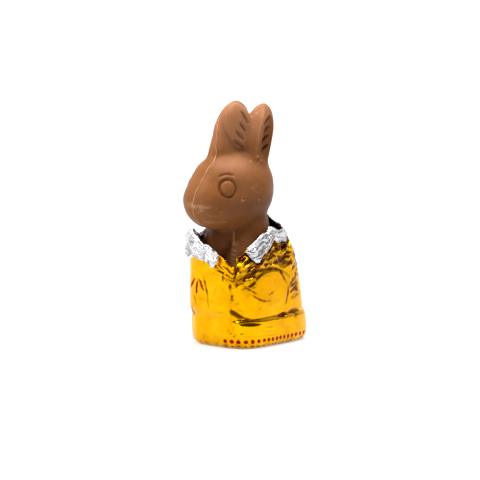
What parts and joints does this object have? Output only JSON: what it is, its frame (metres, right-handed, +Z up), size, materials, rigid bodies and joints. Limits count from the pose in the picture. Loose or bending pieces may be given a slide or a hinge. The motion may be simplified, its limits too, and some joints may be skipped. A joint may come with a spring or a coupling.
{
  "type": "chocolate bunny",
  "caption": "Sitting moulded milk chocolate rabbit, its gold foil wrapper peeled down to the shoulders and turned out to show the silver inside.",
  "frame": {"origin": "middle of the flat base that the foil stands on", "axes": "+Z up, the rabbit looks along -Y and its left side is +X"},
  "size_m": [0.0404, 0.0634, 0.1091],
  "materials": {
    "milk_chocolate": "satin",
    "gold_foil": "gloss"
  },
  "bodies": {
    "root": {"chocolate_bunny": "milk_chocolate", "foil_wrapper": "gold_foil"}
  },
  "joints": []
}
